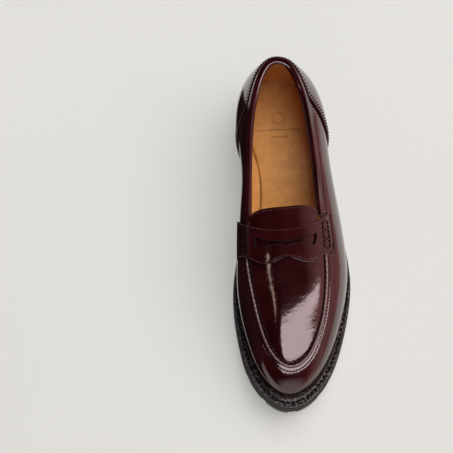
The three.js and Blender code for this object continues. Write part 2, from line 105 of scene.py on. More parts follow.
def linear(code):
    # sRGB hex to linear RGBA
    parts = [int(code[i:i + 2], 16) / 255 for i in (1, 3, 5)]
    return tuple([c / 12.92 if c <= 0.04045 else ((c + 0.055) / 1.055) ** 2.4 for c in parts] + [1.0])


def addNode(tree, kind, settings=None, links=None):
    # one node with its settings and what feeds it
    node = tree.nodes.new("ShaderNode" + kind)
    for name, value in (settings or {}).items():
        if name == "stops":
            ramp = node.color_ramp
            while len(ramp.elements) < len(value):
                ramp.elements.new(0.5)
            for element, (position, color) in zip(ramp.elements, value):
                element.position = position
                element.color = color
        elif name in node.inputs:
            node.inputs[name].default_value = value
        else:
            setattr(node, name, value)
    for name, source in (links or {}).items():
        tree.links.new(source, node.inputs[name])
    return node


def makeStudio():
    bpy.context.scene.view_settings.view_transform = "Standard"  # so that colours come out as written
    world = bpy.data.worlds.new("studio")
    bpy.context.scene.world = world
    world.use_nodes = True
    tree = world.node_tree
    # dark overhead, with a grey wall on the left, a rose one on the right and a pale one in front
    way = addNode(tree, "TexCoord").outputs["Generated"]
    toward = addNode(tree, "SeparateXYZ", {}, {"Vector": way})
    tone = {side: (*radiance, 1) for side, radiance in studio["world"].items()}
    dark = tone["overhead"]
    walls = (
        ("X", ((0.01, tone["left"]), (0.04, dark), (0.8, dark), (0.98, tone["right"]))),
        ("Y", ((0.05, tone["front"]), (0.13, (0, 0, 0, 1)))),
    )
    join = addNode(tree, "AddShader")
    for k, (axis, stops) in enumerate(walls):
        half = addNode(tree, "MapRange", {"From Min": -1.0}, {"Value": toward.outputs[axis]})
        sky = addNode(tree, "ValToRGB", {"stops": stops}, {"Fac": half.outputs["Result"]})
        wallLight = addNode(tree, "Background", {}, {"Color": sky.outputs["Color"]})
        tree.links.new(wallLight.outputs["Background"], join.inputs[k])
    tree.links.new(join.outputs["Shader"], tree.nodes["World Output"].inputs["Surface"])
    for name, plan in studio["lamps"].items():
        wide, deep = plan["size"]
        data = bpy.data.lights.new(name, "AREA")
        data.shape = "RECTANGLE"
        data.size, data.size_y = wide, deep
        data.energy = plan["radiance"] * math.pi * wide * deep
        data.color = linear(plan["tint"])[:3]
        lamp = addObject(name, data)
        lamp.location = plan["at"]
        lamp.rotation_euler = (0, 0, math.radians(plan["turn"]))
        lamp.visible_glossy = plan["lights"] == "gloss"
        lamp.visible_diffuse = plan["lights"] != "gloss"


print("loafer: the last")

# One row per station round the shoe, in mm: feather edge x, s; top edge x, s, z; sole margin;
# low swell, top swell and top drop of the wall. Station 0 is the back, 13 the toe; s runs from heel to toe.
last = {
    "centre": (7.507, 150.381),
    "seatHeight": 34, "ballHeight": 18.6, "toeSpring": 8.5,
    # where the heel's rise and the toe's spring begin, and over what length
    "rise": (195, 155), "spring": (205, 95),
    # the vamp's height over its rims; where it starts to fall and over what length
    "crown": 13.2, "crownRun": (137, 131),
    # gap over the welt; share of its height that the wall rises before it leans
    "seat": 0.3, "wallLift": 0.36,
    # share of the strap that lies over the vamp, and how far down the wall its ends come
    "strapRimShare": 0.8, "strapDrop": {"lateral": 0.2, "medial": 0.3},
    "stations": (
        (4, 5.5, 3, 6.5, 95, 3.5, 9, 4, 18),
        (20.5, 8.5, 12.8, 10.3, 94.3, 3.2, 10, 6, 18),
        (32, 23.5, 20, 21.5, 91.3, 3, 12, 8, 18),
        (37.5, 47, 26.3, 42, 85.8, 3, 13, 11, 17),
        (40, 73, 30, 70, 80.3, 3, 12, 11, 16),
        (43, 100, 32, 98, 77, 3.5, 11, 11, 15),
        (47.8, 128, 32.6, 126, 75, 4, 10, 12, 13),
        (52.3, 156, 33.8, 154, 72.3, 4.5, 8, 13, 10),
        (54.5, 184, 34.9, 181, 66.8, 5, 6, 13, 7),
        (50.8, 210, 33.8, 206, 60, 6, 5, 12, 5.5),
        (43.3, 236, 29.3, 230, 54, 7, 4.5, 11, 4.5),
        (33.5, 259.5, 21.8, 249.5, 50.3, 8.3, 4, 11, 3.5),
        (19.2, 279.8, 13, 262.5, 48.3, 10, 3.5, 12, 3),
        (0.5, 290, 1.5, 268, 47.6, 11.8, 3.5, 12, 3),
        (-15.5, 282, -9.5, 262, 48.3, 10.5, 3.5, 12, 3),
        (-26.7, 264, -17.5, 248.5, 50.4, 9.5, 4, 11, 3.5),
        (-33.6, 240, -23, 230, 54, 8, 4.5, 10, 4.5),
        (-37.8, 214, -27.4, 207, 60, 6.5, 5, 10, 5.5),
        (-38, 187, -30.6, 182, 66.8, 5.5, 6, 9, 8),
        (-34, 160, -30.8, 156, 72.5, 4.5, 7, 8, 11),
        (-29.5, 132, -29.6, 129, 75.6, 3.5, 8, 7, 14),
        (-27, 104, -28, 101, 78, 3, 7, 6, 16),
        (-27.5, 76, -25.6, 74, 81.2, 3, 8, 8, 17),
        (-29, 49, -21.5, 47, 86, 3, 8, 9, 17),
        (-25, 23.5, -14.8, 24, 91, 3, 8, 7, 18),
        (-12.5, 8.2, -6.3, 10.5, 94.3, 3.2, 9, 5, 18),
    ),
}
lap = len(last["stations"])
toe = lap / 2


def columnCurve(values):
    # smooth closed curve through one column of the stations
    control = values
    rounds = 50  # enough for the control values to settle
    for _ in range(rounds):
        control = (6 * values - np.roll(control, 1) - np.roll(control, -1)) / 4

    def curve(a):
        a = np.asarray(a, float)
        i = np.floor(a).astype(int)
        t = a - i
        p, q, r, w = (control[(i + k) % lap] for k in (-1, 0, 1, 2))
        start = (1 - t) ** 3 * p + (3 * t ** 3 - 6 * t ** 2 + 4) * q
        return (start + (3 * t * (1 + t - t ** 2) + 1) * r + t ** 3 * w) / 6

    return curve


featherX, featherS, rimX, rimS, rimZ, margin, lowSwell, topSwell, topDrop = (
    columnCurve(column) for column in np.array(last["stations"], float).T
)


def smooth(t):
    t = np.clip(t, 0, 1)
    return t ** 3 * (t * (t * 6 - 15) + 10)


def bell(distance, width):
    return np.exp(-(distance / width) ** 2)


def unit(vectors):
    return vectors / np.linalg.norm(vectors, axis=-1, keepdims=True)


def place(x, s, z):
    x, s, z = np.broadcast_arrays(x, s, z)
    return np.stack([x - last["centre"][0], last["centre"][1] - s, z], -1)


def lengthwise(points):
    # the s of placed points
    return last["centre"][1] - points[..., 1]


def weltTop(s):
    riseFrom, riseRun = last["rise"]
    springFrom, springRun = last["spring"]
    heelRise = (last["seatHeight"] - last["ballHeight"]) * smooth((riseFrom - s) / riseRun)
    spring = last["toeSpring"] * np.clip((s - springFrom) / springRun, 0, None) ** 2
    return last["ballHeight"] + heelRise + spring


def outward(a):
    step = 0.01
    dx = featherX(a + step) - featherX(a - step)
    ds = featherS(a + step) - featherS(a - step)
    length = np.hypot(dx, ds)
    return ds / length, -dx / length


def beside(a, out, rise):
    # beside the feather edge: out is outwards, rise is above the welt's top
    nx, ns = outward(a)
    s = featherS(a) + ns * out
    return place(featherX(a) + nx * out, s, weltTop(s) + rise)


def wallSurface(a, h):
    # the upper's outer face: h is 0 at the feather edge and 1 at the top edge
    nx, ns = outward(a)
    low, high = weltTop(featherS(a)) + last["seat"], rimZ(a)
    lift = last["wallLift"] * (high - low)
    b0, b1, b2, b3 = (1 - h) ** 3, 3 * h * (1 - h) ** 2, 3 * h ** 2 * (1 - h), h ** 3
    fx, fs, tx, ts = featherX(a), featherS(a), rimX(a), rimS(a)
    return place(
        b0 * fx + b1 * (fx + nx * lowSwell(a)) + b2 * (tx + nx * topSwell(a)) + b3 * tx,
        b0 * fs + b1 * (fs + ns * lowSwell(a)) + b2 * (ts + ns * topSwell(a)) + b3 * ts,
        b0 * low + b1 * (low + lift) + b2 * (high - topDrop(a)) + b3 * high,
    )


def vampSurface(v, u):
    # over the foot from rim to rim: u is 1 on the lateral edge and -1 on the medial one
    share = (1 + u) / 2
    x, s, z = (curve(lap - v) + (curve(v) - curve(lap - v)) * share for curve in (rimX, rimS, rimZ))
    crownFrom, crownRun = last["crownRun"]
    crown = last["crown"] * (1 - np.clip((s - crownFrom) / crownRun, 0, 1) ** 2.2) ** 0.75
    return place(x, s, z + crown * (1 - u * u))


def normalOf(surface, i, j):
    step = 1e-3
    across = surface(i + step, j) - surface(i - step, j)
    up = surface(i, j + step) - surface(i, j - step)
    return unit(np.cross(across, up))


def wall(a, h, out=0.0):
    return wallSurface(a, h) - normalOf(wallSurface, a, h) * np.asarray(out)[..., None]


def vamp(v, u, out=0.0):
    return vampSurface(v, u) + normalOf(vampSurface, v, u) * np.asarray(out)[..., None]


rimTable = np.linspace(1, 12, 4000)
rimTableS = rimS(rimTable)


def stationAt(s):
    return np.interp(s, rimTableS, rimTable)


def saddleRaw(p, s):
    share = last["strapRimShare"]
    v = stationAt(s)
    over = vampSurface(v, np.clip(p / share, -1, 1))
    drop = np.where(p > 0, last["strapDrop"]["lateral"], last["strapDrop"]["medial"])
    h = 1 - drop * np.clip((np.abs(p) - share) / (1 - share), 0, None)
    down = wallSurface(np.where(p > 0, v, lap - v), h)
    return np.where((np.abs(p) <= share)[..., None], over, down)


def saddleSurface(p, s):
    # the strap's bed: p runs from -1 (medial end) to 1 (lateral end), bent softly over the rim
    p, s = np.broadcast_arrays(np.asarray(p, float), np.asarray(s, float))
    taps = ((-2, 1), (-1, 4), (0, 6), (1, 4), (2, 1))  # binomial weights, sixteenths
    spread = 0.024
    return sum(weight * saddleRaw(p + k * spread, s) for k, weight in taps) / 16


def saddle(p, s, out=0.0):
    return saddleSurface(p, s) - normalOf(saddleSurface, p, s) * np.asarray(out)[..., None]


print("loafer: materials")


def newMaterial(name, sockets):
    # a material whose shader starts with these constants
    material = bpy.data.materials.new(name)
    material.use_nodes = True
    tree = material.node_tree
    shader = tree.nodes["Principled BSDF"]
    for socket, value in sockets.items():
        shader.inputs[socket].default_value = value
    spot = {"Vector": addNode(tree, "TexCoord").outputs["Object"]}
    return material, tree, shader, spot


def perMetre(sizeMm):
    # texture scale that repeats once in this many mm
    return 1 / (sizeMm * mm)


def paint(tree, shader, shade, stops):
    # a ramp of hex colours over shade becomes the base colour
    ramp = [(position, linear(code)) for position, code in stops]
    tone = addNode(tree, "ValToRGB", {"stops": ramp}, {"Fac": shade})
    tree.links.new(tone.outputs["Color"], shader.inputs["Base Color"])


def emboss(tree, shader, *layers):
    # bump layers, one over the other: each is a height, its strength and its depth in mm
    below = {}
    for height, strength, depthMm in layers:
        settings = {"Strength": strength, "Distance": depthMm * mm}
        bump = addNode(tree, "Bump", settings, {"Height": height, **below})
        below = {"Normal": bump.outputs["Normal"]}
    tree.links.new(below["Normal"], shader.inputs["Normal"])


boxCalf = {
    "deep": "#24070a", "body": "#320b0f", "worn": "#401319",
    "mottleMm": 26, "rippleMm": 5,
    "poreMm": 0.9,  # real pores are about 0.2 mm; drawn coarser so that they show
    "roughness": (0.08, 0.13), "coat": 0.45,
}


def polishedOxblood(name, plan):
    # Box calf, aniline dyed oxblood, plated and polished: deep red that goes nearly black away from the
    # light, mirror-like sheen that breaks up slightly over the pores.
    material, tree, shader, spot = newMaterial(name, {
        "Coat Weight": plan["coat"], "Coat Roughness": 0.05, "IOR": 1.52,
        "Specular IOR Level": 0.9, "Specular Tint": linear("#ffe3e6")})
    mottle = addNode(tree, "TexNoise", {"Scale": perMetre(plan["mottleMm"]), "Detail": 4}, spot)
    paint(tree, shader, mottle.outputs["Fac"], (
        (0.30, plan["deep"]), (0.52, plan["body"]), (0.78, plan["worn"])))
    smoothest, roughest = plan["roughness"]
    gloss = addNode(tree, "MapRange", {"To Min": smoothest, "To Max": roughest},
                    {"Value": mottle.outputs["Fac"]})
    tree.links.new(gloss.outputs["Result"], shader.inputs["Roughness"])
    ripple = addNode(tree, "TexNoise", {"Scale": perMetre(plan["rippleMm"]), "Detail": 4}, spot)
    pore = addNode(tree, "TexVoronoi", {"Scale": perMetre(plan["poreMm"])}, spot)
    emboss(tree, shader, (ripple.outputs["Fac"], 0.4, 0.3), (pore.outputs["Distance"], 0.10, 0.05))
    return material


def tanLining(name, dark, body, light):
    # Vegetable-tanned lining calf, glazed flat: warm, even tan with faint clouds and closed pores.
    material, tree, shader, spot = newMaterial(name, {"Roughness": 0.5})
    cloud = addNode(tree, "TexNoise", {"Scale": perMetre(9), "Detail": 8, "Roughness": 0.75}, spot)
    paint(tree, shader, cloud.outputs["Fac"], ((0.2, dark), (0.5, body), (0.8, light)))
    pore = addNode(tree, "TexVoronoi", {"Scale": perMetre(0.8)}, spot)
    fibre = addNode(tree, "TexNoise", {"Scale": perMetre(1.6), "Detail": 5}, spot)
    emboss(tree, shader, (pore.outputs["Distance"], 0.2, 0.08), (fibre.outputs["Fac"], 0.2, 0.08))
    return material


def mouldedRubber():
    # Vulcanised carbon-black rubber from a blasted mould: near black with a brown cast, dry and satin.
    material, tree, shader, spot = newMaterial("moulded_rubber", {"Roughness": 0.55, "IOR": 1.52})
    dirt = addNode(tree, "TexNoise", {"Scale": perMetre(18), "Detail": 6}, spot)
    paint(tree, shader, dirt.outputs["Fac"], ((0.4, "#2a2623"), (0.75, "#3a3530")))
    skin = addNode(tree, "TexNoise", {"Scale": perMetre(0.7), "Detail": 3}, spot)
    emboss(tree, shader, (skin.outputs["Fac"], 0.35, 0.08))
    return material


def inkedWeltWithSheen():
    # Welt leather inked dark brown and waxed: uneven dark brown in random patches, the palest of them a
    # lilac grey that is painted sheen.
    material, tree, shader, spot = newMaterial("inked_welt_and_painted_sheen", {
        "Roughness": 0.42, "Coat Weight": 0.25, "Coat Roughness": 0.3})
    inkAndSheen = addNode(tree, "TexNoise", {"Scale": perMetre(2.4), "Detail": 5, "Roughness": 0.7}, spot)
    paint(tree, shader, inkAndSheen.outputs["Fac"], ((0.36, "#0e0b0a"), (0.5, "#2e2624"), (0.66, "#82757a")))
    fibre = addNode(tree, "TexNoise", {"Scale": perMetre(1.1), "Detail": 4}, spot)
    emboss(tree, shader, (fibre.outputs["Fac"], 0.4, 0.12))
    return material


def waxedThread(name, body, light):
    # Waxed cord, twisted: matt, with a dull glint along each ply.
    material, tree, shader, spot = newMaterial(name, {"Roughness": 0.7, "Specular IOR Level": 0.25})
    ply = addNode(tree, "TexWave", {
        "Scale": perMetre(2.6), "Distortion": 1.5, "bands_direction": "DIAGONAL"}, spot)
    paint(tree, shader, ply.outputs["Fac"], ((0.2, body), (0.9, light)))
    emboss(tree, shader, (ply.outputs["Fac"], 0.4, 0.08))
    return material


def grainy(name, dark, light, sizeMm, rough, metallic=0.0, depthMm=0.1):
    # Plain stock: two tones in grains of a real size.
    material, tree, shader, spot = newMaterial(name, {"Roughness": rough, "Metallic": metallic})
    speck = addNode(tree, "TexNoise", {"Scale": perMetre(sizeMm), "Detail": 5, "Roughness": 0.65}, spot)
    paint(tree, shader, speck.outputs["Fac"], ((0.35, dark), (0.7, light)))
    emboss(tree, shader, (speck.outputs["Fac"], 0.3, depthMm))
    return material


oxblood = polishedOxblood("polished_oxblood_calf", boxCalf)
# the same calf, paler, pinker and rougher: a painted highlight for the folded ridge beside the seam
oxbloodPaintedHighlight = polishedOxblood("oxblood_fold_painted_highlight", {
    **boxCalf, "deep": "#6b5155", "body": "#866a6d", "worn": "#9c8284", "roughness": (0.22, 0.3)})
tan = tanLining("tan_lining_calf", "#c07f34", "#d9964a", "#e6ab64")
sockTan = tanLining("tan_sock_calf", "#b97e3a", "#d2934f", "#dfa866")
# a dark tan for the sock's cut edge: painted shade where the sock meets the lining
tanEdgeShade = tanLining("tan_edge_painted_shade", "#6b3e17", "#8a5524", "#9c6631")
# the sock where a hot die has pressed and darkened it
pressedTan = tanLining("pressed_tan_calf", "#9b6830", "#b0793d", "#bd884b")
rubber = mouldedRubber()
weltInkAndSheen = inkedWeltWithSheen()
darkThread = waxedThread("waxed_dark_thread", "#050303", "#120b0b")
# the edge rows are sewn with a burgundy thread that glints a little
wineThread = waxedThread("waxed_burgundy_thread", "#38191d", "#7b565a")
# edge of the strap's leather, skived and inked black-brown: matt; round the coin slot the same black is also
# painted shade in the slot's gap
inkedEdgeAndShade = grainy("inked_edge_and_painted_shade", "#0c0606", "#1a0d0d", 1.5, 0.6)
innerFinishes = {
    # undyed shoulder, its fibres showing
    "natural_leather": grainy("undyed_shoulder_leather", "#a57f55", "#c9a274", 3, 0.75),
    # cork granules in latex paste
    "cork": grainy("cork_granules_in_latex", "#5f4023", "#9a6f42", 2.2, 0.9, depthMm=0.4),
    # tempered spring steel, rolled: faint scale along a bright face
    "steel": grainy("rolled_spring_steel", "#80858a", "#a4a9ad", 4, 0.34, 1.0),
    # pressed leatherboard, coarse fibres in glue
    "leatherboard": grainy("pressed_leatherboard", "#8a7355", "#b49a78", 1.8, 0.85),
    # open-cell latex foam
    "foam": grainy("open_cell_foam", "#cbbf9f", "#e6dcc4", 1.2, 0.95, depthMm=0.5),
    # waxed linen, undyed
    "pale_thread": waxedThread("waxed_linen_thread", "#b5a57f", "#dccfae"),
}


print("loafer: mesh tools")


def newPiece(name, points, faces, material):
    mesh = bpy.data.meshes.new(name)
    mesh.from_pydata((np.asarray(points).reshape(-1, 3) * mm).tolist(), [], [list(f) for f in faces])
    tool = bmesh.new()
    tool.from_mesh(mesh)
    bmesh.ops.remove_doubles(tool, verts=tool.verts, dist=0.002 * mm)
    bmesh.ops.recalc_face_normals(tool, faces=tool.faces)
    tool.to_mesh(mesh)
    tool.free()
    mesh.shade_smooth()
    mesh.materials.append(material)
    return addObject(name, mesh)


def bake(piece):
    # the modifiers' result becomes the mesh
    graph = bpy.context.evaluated_depsgraph_get()
    mesh = bpy.data.meshes.new_from_object(piece.evaluated_get(graph))
    piece.modifiers.clear()
    piece.data = mesh
    mesh.shade_smooth()
    return piece


def softenEdges(piece, widthMm, angle=50):
    edge = piece.modifiers.new("soft edges", "BEVEL")
    edge.width = widthMm * mm
    edge.segments = 3
    edge.limit_method = "ANGLE"
    edge.angle_limit = math.radians(angle)
    edge.harden_normals = True
    return bake(piece)


def gridFaces(index):
    corners = index[:-1, :-1], index[1:, :-1], index[1:, 1:], index[:-1, 1:]
    return np.stack(corners, -1).reshape(-1, 4).tolist()


def shell(name, outer, inner, material, closed=False, edge=0.0):
    # a closed sheet between two grids of the same size
    ring = np.concatenate([outer, inner[:, ::-1]], axis=1)
    count, around = ring.shape[:2]
    index = np.arange(count * around).reshape(count, around)
    looped = np.hstack([index, index[:, :1]])
    if closed:
        looped = np.vstack([looped, looped[:1]])
    faces = gridFaces(looped)
    if not closed:
        half = around // 2
        for row in (index[0], index[-1]):
            front, back = row[:half], row[::-1][:half]
            faces += np.stack([front[:-1], front[1:], back[1:], back[:-1]], -1).tolist()
    piece = newPiece(name, ring, faces, material)
    return softenEdges(piece, edge) if edge else piece


def tubeFaces(index):
    # faces round rings of points, and both ends
    return gridFaces(np.hstack([index, index[:, :1]])) + [index[0].tolist(), index[-1].tolist()]


def spokes(side, up, count):
    turn = np.linspace(0, 2 * np.pi, count, endpoint=False)[:, None]
    return side[..., None, :] * np.cos(turn) + up[..., None, :] * np.sin(turn)


def tube(name, points, radius, material, sides=10):
    # a closed round cord along points, its ends drawn in
    points = np.asarray(points)
    along = unit(np.gradient(points, axis=0))
    side = unit(np.cross(along, [0.0, 0.0, 1.0]))
    ring = spokes(side, np.cross(side, along), sides)
    rings = points[:, None] + ring * np.broadcast_to(radius, len(points))[:, None, None]
    return newPiece(name, rings, tubeFaces(np.arange(len(points) * sides).reshape(-1, sides)), material)


def runAlong(points):
    # length of the route from its first point to each point
    return np.concatenate([[0], np.cumsum(np.linalg.norm(np.diff(points, axis=0), axis=1))])


def stitchRow(name, points, normals, plan, material=darkThread):
    # separate stitches along a route: each is a short plump cord that dips into the leather at both ends
    points, normals = np.asarray(points), np.asarray(normals)
    run = runAlong(points)
    pitch = plan["length"] + plan["gap"]
    count = max(1, int(run[-1] / pitch))
    middles = (np.arange(count) + 0.5) * run[-1] / count
    rings, sides = 7, 7
    share = np.linspace(0, 1, rings)
    spot = np.clip(middles[:, None] + (share - 0.5) * plan["length"], 0, run[-1])
    centre = np.stack([np.interp(spot, run, points[:, k]) for k in range(3)], -1)
    up = unit(np.stack([np.interp(spot, run, normals[:, k]) for k in range(3)], -1))
    side = np.cross(unit(np.gradient(centre, axis=1)), up)
    lean = (share - 0.5) * plan["length"] * math.tan(math.radians(plan.get("slant", 0)))
    centre = centre + side * lean[:, None]
    crest, sunk, tip = 1.1, 0.7, 0.35  # shares of the radius: height of the bow, its depth, the ends' radius
    bow = 1 - (2 * share - 1) ** 2
    centre = centre + up * (bow * plan["radius"] * crest - plan["radius"] * sunk)[:, None]
    plump = np.sqrt(np.clip(1 - (2 * share - 1) ** 4, 0, 1))
    thick = plan["radius"] * (tip + (1 - tip) * plump)
    body = centre[:, :, None] + spokes(side, up, sides) * thick[:, None, None]
    faces = []
    for stitch in np.arange(count * rings * sides).reshape(count, rings, sides):
        faces += tubeFaces(stitch)
    return newPiece(name, body, faces, material)


def settle(piece, body, slot, *nodes):
    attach(piece, body)
    if nodes:
        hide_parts(*nodes)


def rimDistance(points):
    # distance in plan from points to the top edge line
    line = wallSurface(np.linspace(0, lap, 1600), 1.0)[:, :2]
    flat = points.reshape(-1, 3)[:, :2]
    near = [np.linalg.norm(line - p, axis=1).min() for p in flat]
    return np.reshape(near, points.shape[:-1])


print("loafer: upper")

upper = {
    "leather": 1.3, "columnStep": 0.03,  # stations
    # the skirt: a ridge that stands up below its top edge, then the groove that the second row pulls in
    "ridge": 0.5, "ridgeWidth": 1.1, "ridgeAt": 1.1, "groove": 0.1, "grooveWidth": 0.5,
    "secondRow": (3.9, 5.6),  # from the seam at the sides and at the toe
    "turnIn": (-6.5, -3.5, -1.2),  # the skirt's edge turned in under the insole: out from the feather edge
    # the folded edge beside the seam: radius, how far each stitch draws it in, its start, depth and height
    "roll": 0.95, "pinch": 0.1, "rollStart": 7.6, "rollDown": 1.15, "rollOut": 0.25,
    "apronStart": 7.5, "apronPuff": 0.55, "apronDip": 1.5, "apronRoll": 1.0, "apronGap": 0.5,
    # extra height of the toe box; where it is highest, how far that shifts across; its half length
    "toeRise": (1.7, 225, -19, 26),
}
heights = np.concatenate([np.linspace(0, 0.8, 28), np.linspace(0.805, 1, 48)])
# the thick cord's stitches; its route starts at a station and runs inside and above the top edge
mocStitch = {"length": 3.2, "gap": 1.2, "radius": 1.1, "slant": 14,
             "start": 7.9, "inside": 0.8, "above": 0.5, "upright": 1.2}
seamTable = np.linspace(mocStitch["start"], lap - mocStitch["start"], 1500)
seamRun = runAlong(wallSurface(seamTable, 1.0))
mocPitch = seamRun[-1] / int(seamRun[-1] / (mocStitch["length"] + mocStitch["gap"]))


def mmPerHeight(a):
    # mm along the wall for a unit of h, near the top edge
    return 3 * np.hypot(topSwell(a), topDrop(a))


def frontOnly(a):
    # 1 along the apron seam, fading out under the strap
    reach, fade = 6.2, 0.8
    return smooth((reach - np.abs(toe - np.mod(a, lap))) / fade)


def secondRowDepth(a):
    side, front = upper["secondRow"]
    return side + (front - side) * bell(np.mod(a, lap) - toe, 2)


def makeSkirt():
    a = np.linspace(0, lap, int(lap / upper["columnStep"]), endpoint=False)[:, None]
    h = heights[None, :]
    depth = (1 - h) * mmPerHeight(a)
    bead = upper["ridge"] * bell(depth - upper["ridgeAt"], upper["ridgeWidth"])
    groove = upper["groove"] * bell(depth - secondRowDepth(a), upper["grooveWidth"])
    outer = wall(a, h, (bead - groove) * frontOnly(a))
    inner = wall(a, h, -upper["leather"])
    turned = np.stack([beside(a[:, 0], out, last["seat"]) for out in upper["turnIn"]], 1)
    turnedIn = turned + np.array([0, 0, upper["leather"]])
    ease = 0.3  # of the way up to the wall's inner face
    turnedIn[:, 2] = inner[:, 0] * ease + turnedIn[:, 2] * (1 - ease)
    piece = shell("skirt_leather", np.concatenate([turned, outer], 1),
                  np.concatenate([turnedIn, inner], 1), oxblood, closed=True)
    settle(piece, "shoe", "burgundy_leather", "skirt")


def makeSeamRoll():
    # the skirt's edge folded over, drawn in by every stitch of the seam; its paler colour on top is a
    # painted highlight
    a = np.linspace(upper["rollStart"], lap - upper["rollStart"], 1100)
    route = wall(a, 1 - upper["rollDown"] / mmPerHeight(a), upper["rollOut"])
    pull = 1 - upper["pinch"] * np.cos(2 * np.pi * np.interp(a, seamTable, seamRun) / mocPitch)
    piece = tube("skirt_seam_roll_painted_highlight", route, upper["roll"] * pull, oxbloodPaintedHighlight, sides=14)
    settle(piece, "shoe", "burgundy_leather")


def makeApron():
    # columns crowd towards the toe and rows towards both edges
    v = toe - np.linspace(math.sqrt(toe - upper["apronStart"]), 0.15, 150)[:, None] ** 2
    bend = math.pi / 2 * 0.96
    u = np.sin(np.linspace(-1, 1, 91) * bend)[None, :] / math.sin(bend)
    half = np.linalg.norm(wallSurface(v, 1.0) - wallSurface(lap - v, 1.0), axis=-1) / 2
    u = u * (1 - upper["apronGap"] / np.maximum(half, 1.5))
    bed = vampSurface(v, u)
    rise, peak, skew, reach = upper["toeRise"]
    swell = bell(lengthwise(bed) - peak - skew * u, reach) * (1 - np.abs(u) ** 2.5)
    out = upper["apronPuff"] + rise * swell
    out = out - upper["apronDip"] * bell(rimDistance(bed), upper["apronRoll"])
    inner = vamp(v, u, -upper["leather"])
    settle(shell("apron_leather", vamp(v, u, out), inner, oxblood, edge=0.3),
           "shoe", "burgundy_leather", "apron")


# out from the wall, reach in stations each way from the back, and the lower edge turned in under the sock
lining = {"out": -3.2, "thickness": 1.0, "reach": 7.3, "turnIn": (11, 8, 5.4), "turnInHeight": 4.9,
          "vampThickness": 0.8, "vampStart": 7.4, "vampEnd": 0.25}


def makeLinings():
    a = np.linspace(-lining["reach"], lining["reach"], 300)[:, None]
    h = np.linspace(0.1, 1, 40)[None, :]
    outer = wall(a, h, lining["out"])
    inner = wall(a, h, lining["out"] - lining["thickness"])
    under = np.stack([beside(a[:, 0], -out, lining["turnInHeight"]) for out in lining["turnIn"]], 1)
    above = under + np.array([0, 0, lining["thickness"]])
    piece = shell("quarter_lining_calf", np.concatenate([under, outer], 1),
                  np.concatenate([above, inner], 1), tan, edge=0.25)
    settle(piece, "shoe", "tan_leather", "quarter_lining")

    v = toe - np.linspace(toe - lining["vampStart"], lining["vampEnd"], 90)[:, None]
    legs = np.linspace(0.1, 1, 22)[None, :-1]
    arch = np.linspace(1, -1, 40)[None, 1:-1]

    def layerAt(out):
        return np.concatenate([wall(v, legs, out), vamp(v, arch, out), wall(lap - v, legs[:, ::-1], out)], 1)

    inner = layerAt(lining["out"] - lining["vampThickness"])
    piece = shell("vamp_lining_calf", layerAt(lining["out"]), inner, innerFinishes["natural_leather"])
    settle(piece, "shoe", "natural_leather", "vamp_lining")


binding = {"reach": 6.6, "drop": 4.2}


def makeBinding():
    a = np.linspace(-binding["reach"], binding["reach"], 330)
    inside = lining["out"] - lining["thickness"]
    rim = wall(a, 1.0)
    across = wall(a, 1.0, 1.0) - rim
    up = unit(rim - wall(a, 0.98))
    # the section, as (outwards, upwards) from the rim: up the outside, over the edge and down the inside
    low = -binding["drop"]
    middle, half = inside / 2 + 0.05, -inside / 2 + 0.95
    turn = np.linspace(0, np.pi, 17)
    over = [(middle + half * math.cos(t), 0.1 + 1.55 * math.sin(t) ** 0.85) for t in turn]
    path = [(1.0, low), (1.12, low + 1), (1.02, -2.2), (0.98, -0.9)]
    path += over + [(inside - 0.95, -0.9), (inside - 1.1, -3.2)]
    hollow = [(middle + (half - 0.75) * math.cos(t), 0.1 + 0.5 * math.sin(t)) for t in turn]
    back = [(0.3, low), (0.3, -3), (0.3, -2.2), (0.3, -0.9)]
    back += hollow + [(inside - 0.25, -0.9), (inside - 0.4, -3.2)]

    def sweep(shape):
        return np.stack([rim + across * q + up * r for q, r in shape], 1)

    piece = shell("topline_binding_leather", sweep(path), sweep(back), oxblood, edge=0.25)
    settle(piece, "shoe", "burgundy_leather", "topline_binding")


fineStitch = {"length": 1.6, "gap": 1.25, "radius": 0.46}
toplineRow = {"start": 3.15, "end": 6.9, "height": 0.85}


def wallRow(name, a, h, out, plan, *nodes):
    a, h = np.broadcast_arrays(a, h)
    piece = stitchRow(name, wall(a, h, out), -normalOf(wallSurface, a, h), plan)
    settle(piece, "shoe", "dark_thread", *nodes)


def makeSeams():
    a = np.linspace(mocStitch["start"], lap - mocStitch["start"], 900)
    up = -normalOf(wallSurface, a, 1.0)
    flat = unit(up * (1, 1, 0))
    # the cord lies in the groove between the apron's edge and the skirt's ridge
    route = wallSurface(a, 1.0) - flat * mocStitch["inside"] + (0, 0, mocStitch["above"])
    piece = stitchRow("moccasin_seam_cord", route, up + (0, 0, mocStitch["upright"]), mocStitch)
    settle(piece, "shoe", "dark_thread", "apron_seam_thread")
    h = 1 - secondRowDepth(a) / mmPerHeight(a)
    wallRow("skirt_second_row", a, h, -0.05, fineStitch, "skirt_stitching")
    for side, word in ((1, "lateral"), (-1, "medial")):
        a = side * np.linspace(toplineRow["start"], toplineRow["end"], 400)
        node = "topline_stitching_" + word
        wallRow("topline_row_" + word, a, toplineRow["height"], 0.05, fineStitch, node)


# reach in stations each way from the back, less by the taper higher up; insets of the rows of stitches
counter = {"top": 0.92, "inner": 0.6, "outer": 2.0, "reach": 4.3, "taper": 1.55,
           "sideInsets": (0.09, 0.2), "topInset": 0.04}


def counterReach(h):
    return counter["reach"] - counter["taper"] * h


